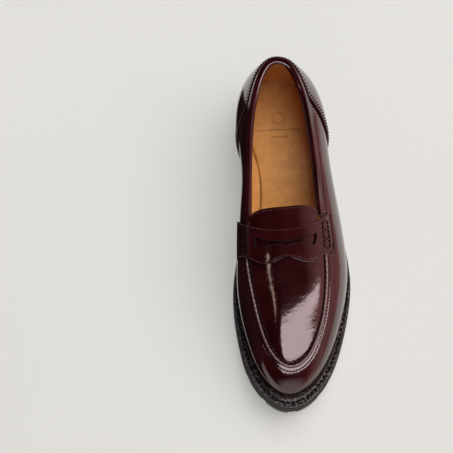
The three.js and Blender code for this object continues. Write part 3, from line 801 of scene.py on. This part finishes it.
def makeCounter():
    i = np.linspace(-1, 1, 230)[:, None]
    h = np.linspace(0.03, counter["top"], 60)[None, :]
    a = i * counterReach(h)
    piece = shell("heel_counter_leather", wall(a, h, counter["outer"]), wall(a, h, counter["inner"]),
                  oxblood, edge=0.4)
    settle(piece, "shoe", "burgundy_leather", "heel_counter")
    out = counter["outer"] + 0.05
    h = np.linspace(0.06, counter["top"] - 0.03, 160)
    nodes = ["counter_stitching"]
    for side, word in ((1, "lateral"), (-1, "medial")):
        for inset in counter["sideInsets"]:
            name = "counter_row_%s_%d" % (word, round(inset * 100))
            wallRow(name, side * (counterReach(h) - inset), h, out, fineStitch, *nodes)
            nodes = []
    h = counter["top"] - counter["topInset"]
    wallRow("counter_top_row", np.linspace(-0.95, 0.95, 400) * counterReach(h), h, out, fineStitch)


strap = {
    "out": 3.0, "thickness": 1.8, "backingOut": 1.0, "backing": 0.6,
    "rear": 157, "rearSweep": 17, "front": 181, "lobe": 4.2, "lobeEnd": 0.84, "taper": 6,
    "halfRun": 42, "endRun": 40,  # mm for a unit of p, over the whole half and near its end
    "edge": 0.5, "bead": 0.04, "groove": 0.05, "rows": 34, "rowInset": 1.5,
}
# the coin slot, from p -half to half: its tips, its rear and front lips, the front lip's bow and its notch
slot = {"half": 0.62, "tip": 160.8, "rear": 167.6, "front": 170.1, "bow": 1.4, "round": 0.16,
        "notch": 3.3, "notchAt": -0.01, "notchHalf": 0.085,
        # the last four: radii of the dark tubes along the lips, inked edge and painted shade, thicker at the
        # ends; and where the strap's rim faces keep that black
        "paint": 0.3, "endShade": 0.62, "paintedHalf": 32, "painted": (158.5, 176)}


def strapRear(p):
    return strap["rear"] - strap["rearSweep"] * np.abs(p) ** 2.2


def strapFront(p):
    size = np.abs(p)
    lobe = strap["lobe"] * np.sin(np.pi * np.minimum(size, strap["lobeEnd"]) / strap["lobeEnd"]) ** 2
    return strap["front"] + lobe - strap["taper"] * smooth((size - 0.45) / 0.55)


def slotEdges(p):
    # the coin slot's rear and front lips; outside the slot they are one line
    half, tip = slot["half"], slot["tip"]
    e = np.minimum(np.abs(p) / half, 1)
    rear = slot["rear"] - (slot["rear"] - tip) * e ** 2
    notch = slot["notch"] * np.clip(1 - np.abs(p - slot["notchAt"]) / slot["notchHalf"], 0, 1) ** 1.1
    low = slot["front"] + slot["bow"] * e ** 2 + notch
    nearTip = np.clip(e - (1 - slot["round"]), 0, 1) / slot["round"]
    front = np.where(e < 1, tip + (low - tip) * np.sqrt(np.clip(1 - nearTip ** 2, 0, 1)), tip)
    front = np.maximum(front, rear)
    beyond = np.abs(p) >= half
    share = (tip - strapRear(half)) / (strapFront(half) - strapRear(half))
    line = strapRear(p) + share * (strapFront(p) - strapRear(p))
    return np.where(beyond, line, rear), np.where(beyond, line, front)


def makeStrap():
    half = slot["half"]
    flat = half * (1 - slot["round"])
    tips = half * (1 - np.linspace(0, 1, 24) ** 2 * slot["round"])
    p = np.unique(np.concatenate([
        np.linspace(-1, -half, 46), -tips, np.linspace(-flat, flat, 130), tips, np.linspace(half, 1, 46),
    ]).round(6))
    rear, front = slotEdges(p)
    points, faces, base = [], [], 0
    ease = np.linspace(0, 1, strap["rows"]) ** 1.5
    for low, high, t in ((strapRear(p), rear, ease), (front, strapFront(p), 1 - ease[::-1])):
        s = low[:, None] + (high - low)[:, None] * t
        across = p[:, None] + 0 * s
        edge = np.minimum(s - strapRear(across), strapFront(across) - s)
        edge = np.minimum(edge, (1 - np.abs(across)) * strap["endRun"])
        # a turned edge: a soft bead, then the groove that the stitches pull in
        bead = strap["bead"] * bell(edge - 0.8, 0.7)
        groove = strap["groove"] * bell(edge - 1.9, 0.45)
        band = saddle(across, s, strap["out"] + (bead - groove))
        index = base + np.arange(band.size // 3).reshape(band.shape[:2])
        points.append(band.reshape(-1, 3))
        faces += gridFaces(index)
        base = index.max() + 1
    piece = newPiece("saddle_strap_leather", np.concatenate(points), faces, oxblood)
    piece.data.materials.append(inkedEdgeAndShade)
    if piece.data.polygons[len(piece.data.polygons) // 2].normal.z < 0:
        piece.data.flip_normals()
    layer = piece.modifiers.new("leather", "SOLIDIFY")
    layer.thickness = strap["thickness"] * mm
    layer.offset = -1
    layer.material_offset_rim = 1
    bake(piece)
    # the inked edge, which in the slot is also painted shade, stays only round the slot
    back, ahead = slot["painted"]
    for face in piece.data.polygons:
        x, s = face.center.x / mm, last["centre"][1] - face.center.y / mm
        if not (abs(x) < slot["paintedHalf"] and back < s < ahead):
            face.material_index = 0
    softenEdges(piece, strap["edge"], angle=40)
    settle(piece, "shoe", "burgundy_leather", "saddle_strap")

    # the slot's cut edge, inked, with dark tubes along both lips that are also painted shade in the gap;
    # thick at the ends, where the shade is deepest
    p = half * np.sin(np.linspace(-1, 1, 260) * math.pi / 2) * 0.999
    rear, front = slotEdges(p)
    thick = slot["paint"] + (slot["endShade"] - slot["paint"]) * smooth((np.abs(p) / half - 0.86) / 0.1)
    for name, s, radius in (("slot_rear_painted_shade", rear, slot["paint"]), ("slot_front_painted_shade", front, thick)):
        piece = tube(name, saddle(p, s, strap["out"] - 0.12), radius, inkedEdgeAndShade)
        settle(piece, "shoe", "burgundy_leather")

    p = np.linspace(-0.985, 0.985, 140)[:, None]
    s = strapRear(p) + (strapFront(p) - strapRear(p)) * np.linspace(0.02, 0.98, 26)[None, :]
    piece = shell("strap_backing_leather", saddle(p, s, strap["backingOut"]),
                  saddle(p, s, strap["backingOut"] - strap["backing"]), oxblood, edge=0.2)
    settle(piece, "shoe", "burgundy_leather", "strap_backing")


def strapRow(name, p, s, plan, thread, *nodes):
    # stitches on the strap along a route through the points p, s
    p, s = np.broadcast_arrays(np.asarray(p, float), np.asarray(s, float))
    run = np.concatenate([[0], np.cumsum(np.hypot(np.diff(p) * strap["halfRun"], np.diff(s)))])
    fine = np.linspace(0, run[-1], max(40, int(run[-1] / 0.3)))
    p, s = np.interp(fine, run, p), np.interp(fine, run, s)
    points = saddle(p, s, strap["out"] + 0.12 + plan.get("lift", 0))
    piece = stitchRow(name, points, -normalOf(saddleSurface, p, s), plan, thread)
    settle(piece, "shoe", "dark_thread", *nodes)


edgeStitch = {"length": 1.6, "gap": 0.95, "radius": 0.36}
ladder = {"near": 0.765, "far": 0.88, "rear": 150.5, "front": 172.5, "skew": 1.5, "rungs": 4,
          "plan": {"length": 3.5, "gap": 0.05, "radius": 0.52, "lift": 0.22}}
endRow = {"at": 0.968, "rearInset": 1.6, "frontInset": 1.2,
          "plan": {"length": 1.9, "gap": 0.1, "radius": 0.42}}
tacks = {"count": 3, "near": 0.93, "far": 1.0, "below": 6.5, "pitch": 1.1,
         "plan": {"length": 2.6, "gap": 0.1, "radius": 0.4}}


def makeStrapStitching():
    across = np.linspace(-0.955, 0.955, 120)
    front, rear = strapFront(across) - strap["rowInset"], strapRear(across) + strap["rowInset"]
    strapRow("strap_front_row", across, front, edgeStitch, wineThread, "strap_edge_stitching")
    strapRow("strap_rear_row", across, rear, edgeStitch, wineThread)
    rear, front, skew, rungs = (ladder[key] for key in ("rear", "front", "skew", "rungs"))
    for side, word in ((1, "lateral"), (-1, "medial")):
        near, far = side * ladder["near"], side * ladder["far"]
        routes = [("rail_%d" % k, (p, p), (rear - skew * k, front)) for k, p in enumerate((near, far))]
        for k in range(rungs):
            share = k / (rungs - 1)
            ends = rear + (front - rear) * share, rear - skew + (front - rear + skew) * share
            routes.append(("rung_%d" % k, (near, far), ends))
        nodes = ["strap_ladder_" + word]
        for name, p, s in routes:
            strapRow("ladder_%s_%s" % (word, name), p, s, ladder["plan"], darkThread, *nodes)
            nodes = []
        s = np.linspace(strapRear(0.965) + endRow["rearInset"], strapFront(0.965) - endRow["frontInset"], 30)
        strapRow("strap_end_row_" + word, side * endRow["at"], s, endRow["plan"], darkThread)
        for k in range(tacks["count"]):
            s = strapFront(0.97) - tacks["below"] + k * tacks["pitch"]
            p = side * tacks["near"], side * tacks["far"]
            strapRow("strap_tack_%s_%d" % (word, k), p, s, tacks["plan"], darkThread)


tongue = {"front": 163, "back": 137, "halfWidth": 0.93, "corner": 12, "wave": 0.9,
          "thickness": 1.1, "liningOut": -1.35, "liningThickness": 0.8,
          "roll": 0.35, "rollAt": 1.2, "rollWidth": 1.6, "rowInset": 2.0,
          "bend": (7.5, -3.5)}  # mm towards the toe from the hinge, for where a bend would start and end


def tongueRear(j):
    corner = 1 - (1 - np.abs(j) ** 4) ** 0.25
    return tongue["back"] + tongue["corner"] * corner + tongue["wave"] * np.cos(np.pi * j * 0.95)


def bendTongue(piece, node):
    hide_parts(node)
    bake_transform(piece)


def makeTongue():
    j = np.sin(np.linspace(-1, 1, 91) * math.pi / 2)[None, :]
    rear = tongueRear(j)
    s = rear + (tongue["front"] - rear) * np.linspace(0, 1, 60)[:, None]
    u = j * tongue["halfWidth"]
    v = stationAt(s)
    # the rear edge swells a little where it is turned and stitched
    roll = tongue["roll"] * bell(s - rear - tongue["rollAt"], tongue["rollWidth"])
    leather = shell("tongue_leather", vamp(v, u, roll), vamp(v, u, -tongue["thickness"]), oxblood, edge=0.3)
    bendTongue(leather, "tongue")
    out = tongue["liningOut"]
    inner = vamp(v, u, out - tongue["liningThickness"])
    calf = shell("tongue_lining_calf", vamp(v, u, out), inner, tan, edge=0.3)
    bendTongue(calf, "tongue_lining")
    j = np.linspace(-0.93, 0.93, 300)
    u = j * tongue["halfWidth"]
    points = vamp(stationAt(tongueRear(j / 0.985) + tongue["rowInset"]), u, 0.3)
    normals = normalOf(vampSurface, stationAt(tongueRear(j) + tongue["rowInset"]), u)
    row = stitchRow("tongue_edge_row", points, normals, edgeStitch, wineThread)
    bendTongue(row, "tongue_stitching")


print("loafer: bottom unit")

bottom = {"weltThickness": 3.3, "midsole": 4.0, "outsole": 5.0, "gap": 0.3, "heelBreast": 4.35}


def soleTop(s):
    return weltTop(s) - bottom["weltThickness"] - bottom["gap"]


def outsoleTop(s):
    return soleTop(s) - bottom["midsole"] - bottom["gap"]


def outsoleUnder(s):
    return outsoleTop(s) - bottom["outsole"]


lugDepth = (last["ballHeight"] - bottom["weltThickness"] - bottom["midsole"] - bottom["outsole"]
            - 2 * bottom["gap"])


def below(height, down):
    # the height function this many mm under another one
    return lambda s: height(s) - down


def footprintPoints(a, out, rise):
    # like beside, with the height given as a function of s
    points = beside(a, out, 0.0)
    points[..., 2] = rise(lengthwise(points))
    return points


def plate(name, v, profile, material, edge):
    # a slab across the shoe; profile is a list of (out, height function) from top to bottom at the edge
    share = np.linspace(0, 1, 41)
    levels = []
    for out, rise in profile:
        lateral = footprintPoints(v, margin(v) + out, rise)
        medial = footprintPoints(lap - v, margin(lap - v) + out, rise)
        row = medial[:, None] * (1 - share)[:, None] + lateral[:, None] * share[:, None]
        row[..., 2] = rise(lengthwise(row))
        levels.append(row)
    top, low = levels[0], levels[-1]
    sides = [(row[:, :1], row[:, -1:]) for row in levels[1:-1]]
    ring = [top] + [right for _, right in sides] + [low[:, ::-1]] + [left for left, _ in sides[::-1]]
    ring = np.concatenate(ring, 1)
    count, around = ring.shape[:2]
    index = np.arange(count * around).reshape(count, around)
    return softenEdges(newPiece(name, ring, tubeFaces(index), material), edge, angle=35)


def rows(start, end):
    # stations from end to end, closer together round heel and toe
    ease = np.concatenate([[0.004, 0.02, 0.05, 0.09], np.linspace(0.14, toe - 0.14, 150),
                           toe - np.array([0.09, 0.05, 0.02, 0.004])])
    return ease[(ease >= start) & (ease <= end)]


def makeMidsole():
    profile = [(-0.6, soleTop), (-0.35, below(soleTop, 1.3)), (-0.6, below(soleTop, bottom["midsole"]))]
    piece = plate("midsole_runner", rows(0, toe), profile, rubber, edge=0.35)
    settle(piece, "shoe", "black_rubber", "midsole")


def block(corners, top, under):
    # a lug with curved sides between two heights
    high, low = corners.copy(), corners.copy()
    high[..., 2] = top(lengthwise(corners))
    low[..., 2] = under(lengthwise(corners))
    return shell("lug", high, low, rubber, edge=0.45)


def unite(base, parts):
    # the lugs become one body with the slab that they are moulded on
    bpy.context.view_layer.update()
    tool = bmesh.new()
    for part in parts:
        tool.from_mesh(part.data)
        bpy.data.objects.remove(part)
    mesh = bpy.data.meshes.new("lugs")
    tool.to_mesh(mesh)
    tool.free()
    lugs = addObject("lugs", mesh)
    join = base.modifiers.new("lugs", "BOOLEAN")
    join.operation = "UNION"
    join.solver = "EXACT"
    join.object = lugs
    bake(base)
    bpy.data.objects.remove(lugs)
    base.data.set_sharp_from_angle(angle=math.radians(40))
    return base


# along the edge: a lug's gap as a share of its pitch, mm in from the edge, then count and reach inwards
edgeLug = {"gap": 0.11, "inset": 0.25, "sole": (14, 14), "heel": (8, 13)}
# down the middle of the forepart, pairs of slanted bars that shorten at the toe; reach across, width, turn
bars = {"at": range(150, 271, 15), "reach": 24, "toeFrom": 240, "toeReach": 15, "width": 6, "turn": 0.45}
heel = {"taper": 4.5, "taperFrom": 120, "taperRun": 60, "blockLeast": 8, "tread": 5,
        "barsAt": (26, 42, 58, 74), "bar": (30, 8), "middle": 4.5}


def edgeLugs(start, end, plan, top, under):
    count, width = plan
    pitch = (end - start) / count
    made = []
    for i in range(count):
        reach = (i + edgeLug["gap"]) * pitch, (i + 1 - edgeLug["gap"]) * pitch
        a = np.linspace(start + reach[0], start + reach[1], 13)[:, None]
        inward = np.linspace(0, 1, 4)[None, :]
        corners = beside(a + 0 * inward, margin(a) - edgeLug["inset"] - width * inward, 0.0)
        made.append(block(corners, top, under))
    return made


def middleLug(x, s, length, width, turn, top, under):
    sides = np.linspace(-length / 2, length / 2, 5), np.linspace(-width / 2, width / 2, 4)
    along, over = np.meshgrid(*sides, indexing="ij")
    cosine, sine = math.cos(turn), math.sin(turn)
    centre = place(x, s, 0.0)
    px = centre[0] + along * cosine - over * sine
    py = centre[1] + along * sine + over * cosine
    return block(np.stack([px, py, 0 * px], -1), top, under)


def makeOutsole():
    # a groove runs round the side of the slab
    side = ((0, 0), (0, 1.6), (-0.35, 2.0), (0, 2.4), (0, bottom["outsole"]))
    profile = [(out, below(outsoleTop, down)) for out, down in side]
    base = plate("outsole_rubber", rows(0, toe), profile, rubber, edge=0.3)

    def ground(s):
        return np.maximum(0, outsoleUnder(s) - lugDepth)

    inside = below(outsoleUnder, -1)
    waist = 6  # station where the edge lugs start, on either side
    lugs = edgeLugs(waist, lap - waist, edgeLug["sole"], inside, ground)
    for s in bars["at"]:
        reach = bars["reach"] if s < bars["toeFrom"] else bars["toeReach"]
        middle = 4 - (s - 150) * 0.025  # the sole's middle swings inwards
        for side in (-1, 1):
            lugs.append(middleLug(middle + side * reach * 0.42, s, reach * 0.72, bars["width"],
                                  side * bars["turn"], inside, ground))
    settle(unite(base, lugs), "shoe", "black_rubber", "outsole")


def makeHeel():
    breast = bottom["heelBreast"]
    v = rows(0, breast)
    liftTop = below(outsoleUnder, bottom["gap"])

    def liftUnder(s):
        return liftTop(s) - heel["taper"] * smooth((heel["taperFrom"] - s) / heel["taperRun"])

    def blockTop(s):
        return np.maximum(liftUnder(s) - bottom["gap"], heel["blockLeast"])

    def treadTop(s):
        return heel["tread"]

    def ground(s):
        return 0

    lift = plate("heel_lift_rubber", v, [(-0.4, liftTop), (-0.4, liftUnder)], rubber, edge=0.3)
    settle(lift, "shoe", "black_rubber", "heel_lift")
    base = plate("heel_block_rubber", v, [(0, blockTop), (0, treadTop)], rubber, edge=0.4)
    inside = below(treadTop, -1)
    lugs = edgeLugs(-breast + 0.15, breast - 0.15, edgeLug["heel"], inside, ground)
    lugs += [middleLug(heel["middle"], s, *heel["bar"], 0, inside, ground) for s in heel["barsAt"]]
    settle(unite(base, lugs), "shoe", "black_rubber", "heel_block")


# the wheel's teeth and the lockstitch, which runs at a share of the welt's width
welt = {"inner": -8.0, "edgeInset": 1.2, "wheelPitch": 2.2, "wheelDepth": 0.32, "seamAt": 0.6,
        "stitch": {"length": 3.2, "gap": 1.4, "radius": 0.85}}


def weltProfile(across):
    # height of the welt's top across its width: 0 at the feather edge, 1 at the outer edge
    bead = 0.75 * bell(across - 0.3, 0.13)
    channel = -0.45 * bell(across - 0.6, 0.12)
    fall = -0.5 * np.clip((across - 0.9) / 0.1, 0, 1) ** 2
    return bead + channel + fall


def makeWelt():
    breast = bottom["heelBreast"]
    for name, start, end, node in (
        ("welt_leather", breast + 0.1, lap - breast - 0.1, "welt"),
        ("heel_rand_leather", -breast + 0.1, breast - 0.1, "heel_seat_rand"),
    ):
        a = np.linspace(start, end, int((end - start) * 95))[:, None]
        run = runAlong(beside(a[:, 0], margin(a[:, 0]), 0.0))[:, None]
        across = np.concatenate([[-1.0], np.linspace(0, 1, 26)])[None, :]
        outer = margin(a) - welt["edgeInset"]
        out = np.where(across < 0, welt["inner"], outer * across)
        teeth = bell(across - 0.86, 0.1) * welt["wheelDepth"]
        teeth = teeth * np.sin(2 * np.pi * run / welt["wheelPitch"])
        rise = np.where(across < 0, 0, weltProfile(across) * np.minimum(1, outer / 4) + teeth)
        top = beside(a, out, rise)
        low = beside(a, out, -bottom["weltThickness"])
        settle(shell(name, top, low, weltInkAndSheen, edge=0.35), "shoe", "welt_leather", node)
    a = np.linspace(breast + 0.3, lap - breast - 0.3, 1500)
    points = beside(a, (margin(a) - welt["edgeInset"]) * welt["seamAt"], -0.1)
    piece = stitchRow("welt_lockstitch", points, np.tile([0.0, 0.0, 1.0], (len(a), 1)), welt["stitch"])
    settle(piece, "shoe", "dark_thread", "welt_stitching")


sock = {
    "inset": 3.5, "medialInset": 12.4, "waist": ((25, 90), (214, 30)),  # where it narrows and widens again
    "insole": 2.5, "pad": (1.6, 100, 30), "thickness": 1.2, "glue": 0.2, "edgeDrop": 0.7,
    "stampAt": (4.0, 42.0), "stampSize": (5.6, 5.2), "rings": (1, 0.62), "emboss": 0.42,
    "lines": ((11.5, 19), (18, 7.5)),  # mm ahead of the oval, half length
    "ringRadius": 0.75, "lineRadius": 0.95,
}


def sockTop(s):
    # upper, insole, pad and sock, each over its gap
    gap = bottom["gap"]
    thick, padFrom, fade = sock["pad"]
    insoleTop = weltTop(s) + upper["leather"] + 2 * gap + sock["insole"]
    return insoleTop + (gap + sock["glue"]) + thick * smooth((padFrom - s) / fade) + gap + sock["thickness"]


def stampDepth(x, s):
    # a plain blind-embossed oval with two short lines under it
    cx, cs = sock["stampAt"]
    wide, tall = sock["stampSize"]
    ring = np.hypot((x - cx) / wide, (s - cs) / tall)
    oval = bell((ring - 1) * tall, 0.7) + bell((ring - 0.8) * tall, 0.45)
    lines = 0
    for ds, reach in sock["lines"]:
        lines = lines + bell(s - cs - ds, 0.6) * (np.abs(x - cx) < reach)
    return sock["emboss"] * np.clip(oval + lines, 0, 1)


def makeSock():
    v = np.concatenate([np.array([0.006, 0.03, 0.07, 0.12]), np.linspace(0.18, 9, 330)])[:, None]
    share = np.linspace(0, 1, 120)[None, :]
    medialS = featherS(lap - v)
    (start, shrink), (end, widen) = sock["waist"]
    narrow = smooth((medialS - start) / shrink) * smooth((end - medialS) / widen)
    medialInset = sock["inset"] + (sock["medialInset"] - sock["inset"]) * narrow
    lateral = beside(v, -sock["inset"], 0.0)
    medial = beside(lap - v, -medialInset, 0.0)
    points = medial * (1 - share)[..., None] + lateral * share[..., None]
    x, s = points[..., 0] + last["centre"][0], lengthwise(points)
    edgeDrop = sock["edgeDrop"] * bell(np.minimum(share, 1 - share) * 60, 1.1)
    points[..., 2] = sockTop(s) - stampDepth(x, s) - edgeDrop
    under = points.copy()
    under[..., 2] = sockTop(s) - 1.1
    settle(shell("sock_calf", points, under, sockTan), "shoe", "tan_leather", "sock_lining")
    # a dark tube all round the cut edge: painted shade where the sock meets the lining
    edge = np.concatenate([points[::-1, 0], points[:, -1]])
    settle(tube("sock_edge_painted_shade", edge + (0, 0, 0.1), 0.27, tanEdgeShade), "shoe", "tan_leather")


def makeStamp():
    # the die has darkened the pressed lines
    cx, cs = sock["stampAt"]
    wide, tall = sock["stampSize"]
    turn = np.linspace(0, 2 * np.pi, 90)
    routes = [(cx + wide * share * np.cos(turn), cs + tall * share * np.sin(turn), sock["ringRadius"])
              for share in sock["rings"]]
    for ahead, reach in sock["lines"]:
        routes.append((cx + np.linspace(-reach, reach, 40), cs + ahead, sock["lineRadius"]))
    for k, (x, s, radius) in enumerate(routes):
        route = place(x, s, sockTop(s) - sock["emboss"] - 0.4)
        settle(tube("sock_stamp_%d" % k, route, radius, pressedTan, sides=12), "shoe", "tan_leather")


def finishInnerNodes():
    # the pieces inside the shoe keep their CAD shape and get real finishes
    slots = {part["node"]: part["material_slot"] for part in frame["record"]["subparts"]}
    for name, node in frame["nodes"].items():
        finish = innerFinishes.get(slots[name])
        if finish and not node.hide_render:
            node.data.materials.clear()
            node.data.materials.append(finish)


def makeFloor():
    # painted board, matt: pale warm grey with no visible grain, lit through so that shadows stay light
    plan = studio["floor"]
    material, tree, shader, spot = newMaterial("matt_studio_floor", {
        "Roughness": 0.85,
        "Emission Color": linear(plan["glow"]), "Emission Strength": plan["glowStrength"]})
    tint = addNode(tree, "TexNoise", {"Scale": 3.0}, spot)
    paint(tree, shader, tint.outputs["Fac"], ((0.3, plan["near"]), (0.8, plan["far"])))
    half, height = plan["half"], plan["height"]
    corners = [(x, y, height) for x, y in ((-half, -half), (half, -half), (half, half), (-half, half))]
    newPiece("floor", corners, [(0, 1, 2, 3)], material)


def makeCards():
    # a black card darkens the inner side's gloss and a rose one warms the outer side's
    rose = grainy("rose_card_board", "#cf9293", "#d89d9e", 4, 0.9)
    for side, finish in (("inner", inkedEdgeAndShade), ("outer", rose)):
        plan = studio["cards"][side]
        foot = studio["cardFoot"]
        section = [(plan["near"], foot), (plan["far"], foot), (plan["far"], plan["top"])]
        points = [[(x / mm, y / mm, z / mm) for x, z in section] for y in (plan["back"], plan["front"])]
        card = newPiece("card_" + side, points, [(0, 1, 4, 3), (1, 2, 5, 4)], finish)
        for ray in ("camera", "diffuse", "transmission", "shadow", "volume_scatter"):
            setattr(card, "visible_" + ray, False)


makeCamera()
makeStudio()
makeFloor()
makeCards()
makeSkirt()
makeSeamRoll()
makeApron()
makeLinings()
makeBinding()
makeSeams()
makeCounter()
makeStrap()
makeStrapStitching()
makeTongue()
print("loafer: sole")
makeMidsole()
makeOutsole()
makeHeel()
makeWelt()
makeSock()
makeStamp()
finishInnerNodes()

print("loafer: done")
